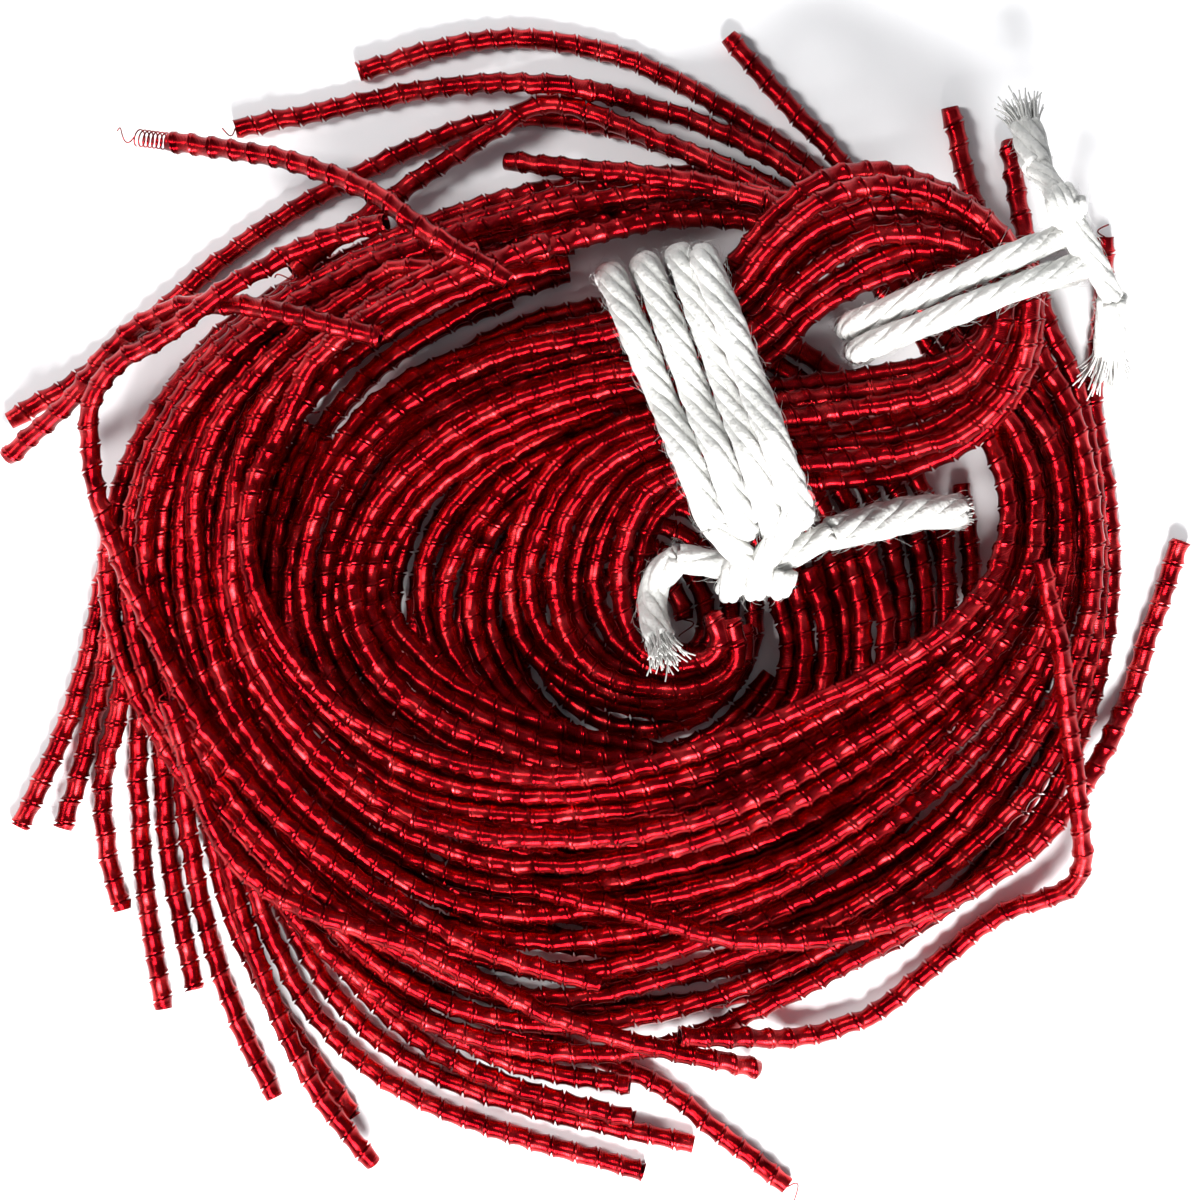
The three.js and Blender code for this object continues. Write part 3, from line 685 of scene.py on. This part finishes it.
def along(at, arc, values):
    return np.column_stack([np.interp(at, arc, values[:, k]) for k in range(3)])


# ---- meshes ----
class MeshParts:
    """Collects tubes into one mesh. A vertex keeps its length along its tube, and its swell there, which
    the wire's material also uses as the mask for its painted shade.
    """

    def __init__(self):
        self.vertices = []
        self.faces = []
        self.lengths = []
        self.swells = []
        self.count = 0

    def add_tube(self, rings, lengths, swells=None):
        """rings is an array of rings x sides x 3, closed with a flat cap at both ends."""
        turns, sides = rings.shape[:2]
        index = self.count + np.arange(turns * sides).reshape(turns, sides)
        after = np.roll(index, -1, axis=1)
        quads = np.stack([index[:-1], index[1:], after[1:], after[:-1]], axis=-1).reshape(-1, 4)
        self.faces.extend(quads.tolist())
        self.faces.append(index[0].tolist())
        self.faces.append(index[-1][::-1].tolist())
        self.vertices.append(rings.reshape(-1, 3))
        self.lengths.append(np.repeat(lengths, sides))
        self.swells.append(np.repeat(np.ones(turns) if swells is None else swells, sides))
        self.count += turns * sides

    def build(self, name, material):
        mesh = bpy.data.meshes.new(name)
        points = np.vstack(self.vertices) * MM
        points[:, 2] = np.maximum(points[:, 2], 0.0)
        mesh.from_pydata(points.tolist(), [], self.faces)
        for label, values in (("along_mm", self.lengths), ("swell", self.swells)):
            field = mesh.attributes.new(label, "FLOAT", "POINT")
            field.data.foreach_set("value", np.concatenate(values).astype(np.float32))
        mesh.shade_smooth()
        mesh.materials.append(material)
        mesh.update()
        piece = bpy.data.objects.new(name, mesh)
        bpy.context.scene.collection.objects.link(piece)
        return piece


def round_rings(line, radii, sides, frames=None):
    _, side, up = frames or carried_frames(line)
    angles = np.linspace(0, 2 * math.pi, sides, endpoint=False)
    circle = np.cos(angles)[None, :, None] * side[:, None] + np.sin(angles)[None, :, None] * up[:, None]
    return line[:, None] + circle * np.broadcast_to(radii, len(line))[:, None, None]


def crimp_rings(length, chance):
    """Places along a strand, and the share of its radius there, ring by ring."""
    pitch = CRIMP_PITCH * chance.uniform(*PITCH_RANGE)
    start = -pitch * chance.uniform(0.0, 1.0)
    places, shares = [], []
    while start < length:
        scale = chance.uniform(*SWELL_RANGE)
        step = pitch * chance.uniform(*STEP_RANGE)
        for share, size in CRIMP_SHAPE:
            at = start + share * step
            if CUT_MARGIN < at < length - CUT_MARGIN:
                places.append(at)
                shares.append(min(size * scale, MAX_SWELL))
        start += step
    return np.array(places), np.array(shares)


def strand_tube(parts, line, chance, start=0.0):
    """A crimped hollow strand: outer wall, cut ends and the inside near each end."""
    arc = arc_of(line)
    length = arc[-1]
    places, shares = crimp_rings(length - start, chance)
    wall = WALL_SHARE * STRAND_RADIUS
    rim = CUT_SHARE * STRAND_RADIUS
    depth = min(HOLLOW_DEPTH, (length - start) / 4)
    near_end = [start + depth, start + LIP, start]
    far_end = [length, length - LIP, length - depth]
    at = np.concatenate([near_end, places + start, far_end])
    radii = np.concatenate([[wall, wall, rim], shares * STRAND_RADIUS, [rim, wall, wall]])
    tangent, side, up = (along(at, arc, values) for values in level_frames(line))
    centre = along(at, arc, line)
    knots = np.arange(0, length + CRIMP_PITCH, CRIMP_PITCH / 2)
    wander = chance.normal(0, CRIMP_WANDER, (len(knots), 2)).clip(-MAX_WANDER, MAX_WANDER)
    centre = centre + side * np.interp(at, knots, wander[:, 0])[:, None]
    centre = centre + up * np.interp(at, knots, wander[:, 1])[:, None]
    angles = np.linspace(0, 2 * math.pi, RING_SIDES, endpoint=False) + chance.uniform(0, 1)
    cos, sin = np.cos(angles), np.sin(angles)
    rings = centre[:, None] + radii[:, None, None] * (
        cos[None, :, None] * side[:, None] + sin[None, :, None] * up[:, None]
    )
    lean = CRIMP_TILT * chance.uniform(0.7, 1.3) * radii[:, None] * cos[None, :]
    lean[:3] = 0
    lean[-3:] = 0
    rings = rings + lean[..., None] * tangent[:, None]
    # The radius shares also mark the wire's painted shade: where they are small, in the notches and
    # inside the hollow ends, the material paints the colour near black.
    parts.add_tube(rings, at, radii / STRAND_RADIUS)


def opened_coil(parts, line):
    """The cut end where the wire has sprung open into separate turns. Returns its length."""
    length = OPENED_TURNS * OPENED_PITCH
    arc = arc_of(line)
    _, side, up = level_frames(line)
    at = np.linspace(0, length + 0.3, OPENED_TURNS * 14)
    angle = at / OPENED_PITCH * 2 * math.pi
    radius = OPENED_SHARE * STRAND_RADIUS
    wire = along(at, arc, line)
    wire += radius * np.cos(angle)[:, None] * along(at, arc, side)
    wire += radius * np.sin(angle)[:, None] * along(at, arc, up)
    parts.add_tube(round_rings(wire, OPENED_WIRE, 6), at)
    return length


def stray_wire(parts, line, chance):
    """A short curl of loose wire at a cut end."""
    tangent, side, up = (values[0] for values in level_frames(line))
    turn = np.linspace(0, chance.uniform(3.5, 6.0), 24)
    size = chance.uniform(0.5, 0.95)
    wire = line[0] + 0.7 * STRAND_RADIUS * up
    wire = wire + np.outer(size * np.sin(turn), side) - np.outer(0.35 * turn, tangent)
    wire = wire + np.outer(size * (1 - np.cos(turn)) * 0.4, up)
    parts.add_tube(round_rings(wire, STRAY_WIRE, 6), turn)


def strand_piece(item, number, material):
    chance = np.random.default_rng(STRAND_SEED + number)
    line = rounded_line(item["points"])
    parts = MeshParts()
    start = opened_coil(parts, line) if item["name"] == "opened_end_strand" else 0.0
    strand_tube(parts, line, chance, start)
    if number % STRAY_EVERY == 0:
        stray_wire(parts, line, chance)
    piece = parts.build(item["name"] + "_purl", material)
    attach(piece, "root")
    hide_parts(item["name"])
    return piece, line


# ---- yarn ----
def ply_tubes(parts, line, radius, chance):
    """Plies twisted round the line, each a little nearer or farther from it in turn."""
    arc = arc_of(line)
    _, side, up = carried_frames(line)
    phase = chance.uniform(0, 2 * math.pi)
    for ply in range(PLIES):
        angle = phase + 2 * math.pi * (arc / TWIST_LENGTH + ply / PLIES)
        out = (PLY_OFFSET * radius * (1 + 0.08 * np.sin(arc * 1.3 + 2.2 * ply)))[:, None]
        centre = line + out * (np.cos(angle)[:, None] * side + np.sin(angle)[:, None] * up)
        parts.add_tube(round_rings(centre, PLY_SHARE * radius, PLY_SIDES), arc)


def hairs(parts, line, radius, chance, density=1.0):
    """Loose cotton fibres that stand off the yarn."""
    arc = arc_of(line)
    frames = carried_frames(line)
    for _ in range(int(arc[-1] * HAIRS_PER_MM * density)):
        at = chance.uniform(0, arc[-1])
        tangent, side, up = (along([at], arc, values)[0] for values in frames)
        angle = chance.uniform(0, 2 * math.pi)
        outward = math.cos(angle) * side + math.sin(angle) * up
        forward = tangent * chance.choice([-1, 1])
        bend = np.cross(outward, forward) * chance.normal(0, 0.5)
        t = np.linspace(0, 1, 6)[:, None]
        size = chance.uniform(0.5, 1.9)
        lift = chance.uniform(0.12, 0.6)
        hair = along([at], arc, line)[0] + outward * radius * 0.93
        hair = hair + size * (forward * t + outward * lift * t * (1.6 - t) + bend * t * t)
        parts.add_tube(round_rings(hair, HAIR_RADIUS * (1 - 0.6 * t[:, 0]), 3), t[:, 0])


def frayed_end(parts, line, radius, chance, length, spread, count):
    """The cut end of a yarn, opened into a brush of thin strands."""
    tangent, side, up = (values[-1] for values in carried_frames(line))
    t = np.linspace(0, 1, 8)[:, None]
    for _ in range(count):
        angle = chance.uniform(0, 2 * math.pi)
        out = radius * math.sqrt(chance.uniform(0, 1))
        outward = math.cos(angle) * side + math.sin(angle) * up
        size = length * chance.uniform(0.55, 1.0)
        curl = (side * chance.normal(0, 0.18) + up * chance.normal(0, 0.12)) * size
        strand = line[-1] - tangent * 0.8 + outward * out * 0.85
        strand = strand + tangent * (size + 0.8) * t + outward * out * spread * t ** 1.5 + curl * t * t
        strand[:, 2] = np.maximum(strand[:, 2], FRAY_FLOOR)
        parts.add_tube(round_rings(strand, FRAY_RADIUS * (1 - 0.45 * t[:, 0]), 5), t[:, 0])


def leg_points(under, over, outward):
    """A yarn turn's side: an upright half loop from the run below to the run above."""
    points = []
    for degrees in LEG_ANGLES:
        share = (1 + math.sin(math.radians(degrees))) / 2
        bulge = LEG_BULGE * 0.6 * math.cos(math.radians(degrees))
        points.append(under + (over - under) * share + np.array([*outward, 0.0]) * bulge)
    return points


def tie_path(tie):
    """The wound yarn as one path: over, down the far side, back under, up the near side."""
    path = []
    for i, (over, turn) in enumerate(zip(tie["upper"], tie["turns"])):
        away = np.array(turn["far"], float) - np.array(turn["near"], float)
        away /= np.linalg.norm(away)
        path.extend(over["points"])
        top = over["points"][-1]
        if i == len(tie["lower"]):
            floor = np.array([top[0], top[1], tie["lower"][-1]["points"][0][2]])
            path.extend(leg_points(floor, top, away)[::-1])
            path.append(floor - np.array([*away, 0.0]) * 0.8)
            break
        under = tie["lower"][i]["points"]
        path.extend(leg_points(under[0], top, away)[::-1])
        path.extend(under)
        path.extend(leg_points(under[-1], tie["upper"][i + 1]["points"][0], -away))
    return np.array(path)


def yarn_line(points):
    """A smooth line through points that may climb steeply."""
    return smooth(smooth(resample(np.array(points, float), 0.3), 3), 3)


def link_line(start, end):
    """A short bowed line from one place of a knot to where its yarn goes on."""
    t = np.linspace(0, 1, 24)[:, None]
    bow = np.array([0, 0, LINK_RISE]) * 4 * t * (1 - t)
    return start + (end - start) * t + bow


def knot_coil(points, knot_radius, yarn_radius):
    """The yarn's path round itself inside a knot."""
    a, b = points
    axis = (b - a) / np.linalg.norm(b - a)
    side = np.cross(axis, [0, 0, 1.0])
    t = np.linspace(0, 1, 60)[:, None]
    angle = 2 * math.pi * KNOT_COIL_TURNS * t
    ring = knot_radius - yarn_radius * 0.55
    return a + (b - a) * t + ring * (np.cos(angle) * side + np.sin(angle) * np.array([0, 0, 1.0]))


def dress_yarn(piece, node):
    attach(piece, "root")
    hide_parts(node)
    return piece


def turns_piece(name, tie, number, material):
    chance = np.random.default_rng(YARN_SEED + number)
    line = yarn_line(tie_path(tie))
    parts = MeshParts()
    ply_tubes(parts, line, tie["radius"], chance)
    hairs(parts, line, tie["radius"], chance)
    return dress_yarn(parts.build(name + "_yarn", material), name), line


def knot_piece(knot, yarn_radius, ends, number, material):
    """A knot: a coil of yarn, and short links to the turns and the tails it joins."""
    chance = np.random.default_rng(YARN_SEED + number)
    parts = MeshParts()
    points = knot["points"]
    lines = [knot_coil(points, knot["radius"], yarn_radius)]
    middle = points.mean(axis=0)
    for end in ends:
        lines.append(link_line(middle + (end - middle) * LINK_START, end))
    for line in lines:
        line = yarn_line(line)
        ply_tubes(parts, line, yarn_radius * KNOT_YARN_SHARE, chance)
        hairs(parts, line, yarn_radius * KNOT_YARN_SHARE, chance)
    return dress_yarn(parts.build(knot["name"] + "_yarn", material), knot["name"])


def tail_piece(tail, number, material):
    chance = np.random.default_rng(YARN_SEED + number)
    parts = MeshParts()
    line = yarn_line(tail["points"])
    ply_tubes(parts, line, tail["radius"], chance)
    hairs(parts, line, tail["radius"], chance, TAIL_HAIRS)
    frayed_end(parts, line, tail["radius"], chance, *TAIL_FRAYS[tail["name"]])
    return dress_yarn(parts.build(tail["name"] + "_yarn", material), tail["name"])


# ---- materials ----
def new_material(name):
    material = bpy.data.materials.new(name)
    material.use_nodes = True
    nodes = material.node_tree.nodes
    return material, nodes, material.node_tree.links, nodes["Principled BSDF"]


def ramp(nodes, stops):
    node = nodes.new("ShaderNodeValToRGB")
    elements = node.color_ramp.elements
    while len(elements) < len(stops):
        elements.new(0.5)
    for element, (place, colour) in zip(elements, stops):
        element.position = place
        element.color = (*colour, 1)
    return node


def red_wire_material():
    """Red-lacquered copper: fine wire turns, crossed by slight changes of tone and gloss; painted shade
    darkens each crimp's notch and the inside of each hollow cut end.
    """
    material, nodes, links, shader = new_material("red_wire")
    shader.inputs["Metallic"].default_value = 1.0
    place = nodes.new("ShaderNodeTexCoord")
    tone = nodes.new("ShaderNodeTexNoise")
    tone.inputs["Scale"].default_value = 420
    tone.inputs["Detail"].default_value = 3
    links.new(place.outputs["Object"], tone.inputs["Vector"])
    colours = ramp(nodes, [
        (0.30, (0.13, 0.001, 0.003)), (0.52, (0.31, 0.005, 0.009)), (0.75, (0.60, 0.03, 0.035)),
    ])
    links.new(tone.outputs["Fac"], colours.inputs["Fac"])
    # Painted shade: where the strand's radius share (swell) falls below the waist's, in a crimp's notch
    # and inside the hollow cut ends, the colour is mixed towards near black to stand in for the shade
    # that falls there.
    swell = nodes.new("ShaderNodeAttribute")
    swell.attribute_name = "swell"
    recess_shade_mask = nodes.new("ShaderNodeMapRange")
    recess_shade_mask.inputs["From Min"].default_value = 0.74
    recess_shade_mask.inputs["From Max"].default_value = 0.92
    recess_shade_mask.inputs["To Min"].default_value = 0.06
    links.new(swell.outputs["Fac"], recess_shade_mask.inputs["Value"])
    painted_recess_shade = nodes.new("ShaderNodeMix")
    painted_recess_shade.data_type = "RGBA"
    painted_recess_shade.inputs["A"].default_value = (0.02, 0.0, 0.001, 1)
    links.new(recess_shade_mask.outputs["Result"], painted_recess_shade.inputs["Factor"])
    links.new(colours.outputs["Color"], painted_recess_shade.inputs["B"])
    links.new(painted_recess_shade.outputs["Result"], shader.inputs["Base Color"])
    gloss = nodes.new("ShaderNodeMapRange")
    gloss.inputs["To Min"].default_value = 0.16
    gloss.inputs["To Max"].default_value = 0.32
    links.new(tone.outputs["Fac"], gloss.inputs["Value"])
    links.new(gloss.outputs["Result"], shader.inputs["Roughness"])
    length = nodes.new("ShaderNodeAttribute")
    length.attribute_name = "along_mm"
    turns = nodes.new("ShaderNodeMath")
    turns.operation = "MULTIPLY"
    turns.inputs[1].default_value = 2 * math.pi / WIRE_PITCH
    links.new(length.outputs["Fac"], turns.inputs[0])
    wire = nodes.new("ShaderNodeMath")
    wire.operation = "SINE"
    links.new(turns.outputs[0], wire.inputs[0])
    coil = nodes.new("ShaderNodeBump")
    coil.inputs["Strength"].default_value = 0.6
    coil.inputs["Distance"].default_value = 0.02 * MM
    links.new(wire.outputs[0], coil.inputs["Height"])
    grain = nodes.new("ShaderNodeTexNoise")
    grain.inputs["Scale"].default_value = 2600
    grain.inputs["Detail"].default_value = 2
    links.new(place.outputs["Object"], grain.inputs["Vector"])
    rough = nodes.new("ShaderNodeBump")
    rough.inputs["Strength"].default_value = 0.35
    rough.inputs["Distance"].default_value = 0.03 * MM
    links.new(grain.outputs["Fac"], rough.inputs["Height"])
    links.new(coil.outputs["Normal"], rough.inputs["Normal"])
    links.new(rough.outputs["Normal"], shader.inputs["Normal"])
    return material


def cotton_material():
    """Undyed cotton: matt, a little grey between the fibres, with a fibrous surface."""
    material, nodes, links, shader = new_material("white_cotton")
    shader.inputs["Roughness"].default_value = 0.92
    shader.inputs["Sheen Weight"].default_value = 0.35
    shader.inputs["Sheen Roughness"].default_value = 0.5
    place = nodes.new("ShaderNodeTexCoord")
    fibre = nodes.new("ShaderNodeTexNoise")
    fibre.inputs["Scale"].default_value = 1500
    fibre.inputs["Detail"].default_value = 6
    links.new(place.outputs["Object"], fibre.inputs["Vector"])
    patch = nodes.new("ShaderNodeTexNoise")
    patch.inputs["Scale"].default_value = 240
    links.new(place.outputs["Object"], patch.inputs["Vector"])
    colours = ramp(nodes, [(0.25, (0.38, 0.38, 0.36)), (0.6, (0.55, 0.545, 0.52))])
    links.new(patch.outputs["Fac"], colours.inputs["Fac"])
    links.new(colours.outputs["Color"], shader.inputs["Base Color"])
    bump = nodes.new("ShaderNodeBump")
    bump.inputs["Strength"].default_value = 0.8
    bump.inputs["Distance"].default_value = 0.35 * MM
    links.new(fibre.outputs["Fac"], bump.inputs["Height"])
    links.new(bump.outputs["Normal"], shader.inputs["Normal"])
    return material


def floor_material():
    material, _, _, shader = new_material("pale_floor")
    shader.inputs["Base Color"].default_value = (0.88, 0.88, 0.885, 1)
    shader.inputs["Roughness"].default_value = 0.7
    return material


# ---- stage ----
def add_camera():
    data = bpy.data.cameras.new("camera")
    camera = bpy.data.objects.new("camera", data)
    bpy.context.scene.collection.objects.link(camera)
    camera.location = (-PLAN_CENTRE[0] * MM, -PLAN_CENTRE[1] * MM, CAMERA_HEIGHT)
    data.lens = data.sensor_width * (CAMERA_HEIGHT - FOCUS_HEIGHT) / VIEW_WIDTH
    data.clip_start = 0.01
    bpy.context.scene.camera = camera


def add_area(name, location, target, size, watts):
    data = bpy.data.lights.new(name, "AREA")
    data.size = size
    data.energy = watts
    light = bpy.data.objects.new(name, data)
    light.location = location
    light.rotation_euler = (Vector(target) - Vector(location)).to_track_quat("-Z", "Y").to_euler()
    bpy.context.scene.collection.objects.link(light)


def add_stage():
    world = bpy.data.worlds.new("studio")
    world.use_nodes = True
    background = world.node_tree.nodes["Background"]
    background.inputs["Color"].default_value = (0.9, 0.93, 1.0, 1)
    background.inputs["Strength"].default_value = WORLD_STRENGTH
    bpy.context.scene.world = world
    bpy.context.scene.view_settings.view_transform = "Standard"
    for name, location, size, watts in LIGHTS:
        add_area(name, location, (0, 0, 0), size, watts)
    mesh = bpy.data.meshes.new("floor")
    half = FLOOR_HALF
    corners = [(-half, -half, 0), (half, -half, 0), (half, half, 0), (-half, half, 0)]
    mesh.from_pydata(corners, [], [(0, 1, 2, 3)])
    mesh.materials.append(floor_material())
    floor = bpy.data.objects.new("floor", mesh)
    floor.location.z = -FLOOR_DROP
    bpy.context.scene.collection.objects.link(floor)


# ---- making the hank ----
add_camera()

strands = strand_runs()
centre_tie = tie_runs(CENTRE_TURNS, CENTRE_YARN_RADIUS)
fold_tie = tie_runs(FOLD_TURNS, FOLD_YARN_RADIUS)
centre_knot = knot_run("centre_tie_knot", CENTRE_KNOT, KNOT_RADIUS, CENTRE_KNOT_HEIGHT)
fold_knot = knot_run("fold_tie_knot", FOLD_KNOT, FOLD_KNOT_RADIUS, FOLD_KNOT_HEIGHT)
tail_right = tail_run("centre_tie_tail_right", CENTRE_TAIL_RIGHT, RIGHT_TAIL_RADIUS, CENTRE_KNOT_HEIGHT)
tail_left = tail_run("centre_tie_tail_left", CENTRE_TAIL_LEFT, CENTRE_YARN_RADIUS, CENTRE_KNOT_HEIGHT)
tail_top = tail_run("fold_tie_tail_top", FOLD_TAIL_TOP, FOLD_TAIL_RADIUS, FOLD_KNOT_HEIGHT)
tail_side = tail_run("fold_tie_tail_side", FOLD_TAIL_SIDE, FOLD_TAIL_RADIUS, FOLD_KNOT_HEIGHT)
tails = [tail_right, tail_left, tail_top, tail_side]
stack(
    centre_tie["lower"] + fold_tie["lower"] + strands + centre_tie["upper"] + fold_tie["upper"]
    + [centre_knot, fold_knot] + tails
)

red_wire = red_wire_material()
cotton = cotton_material()

for number, item in enumerate(strands):
    piece, line = strand_piece(item, number, red_wire)

for number, (name, tie) in enumerate((("centre_tie_turns", centre_tie), ("fold_tie_turns", fold_tie))):
    piece, line = turns_piece(name, tie, number, cotton)

centre_ends = [centre_tie["upper"][0], centre_tie["upper"][-1], tail_right, tail_left]
fold_ends = [fold_tie["upper"][0], fold_tie["upper"][-1], tail_top, tail_side]
knot_piece(centre_knot, CENTRE_YARN_RADIUS, [end["points"][0] for end in centre_ends], 2, cotton)
knot_piece(fold_knot, FOLD_YARN_RADIUS, [end["points"][0] for end in fold_ends], 3, cotton)
for number, tail in enumerate(tails, start=4):
    tail_piece(tail, number, cotton)

add_stage()
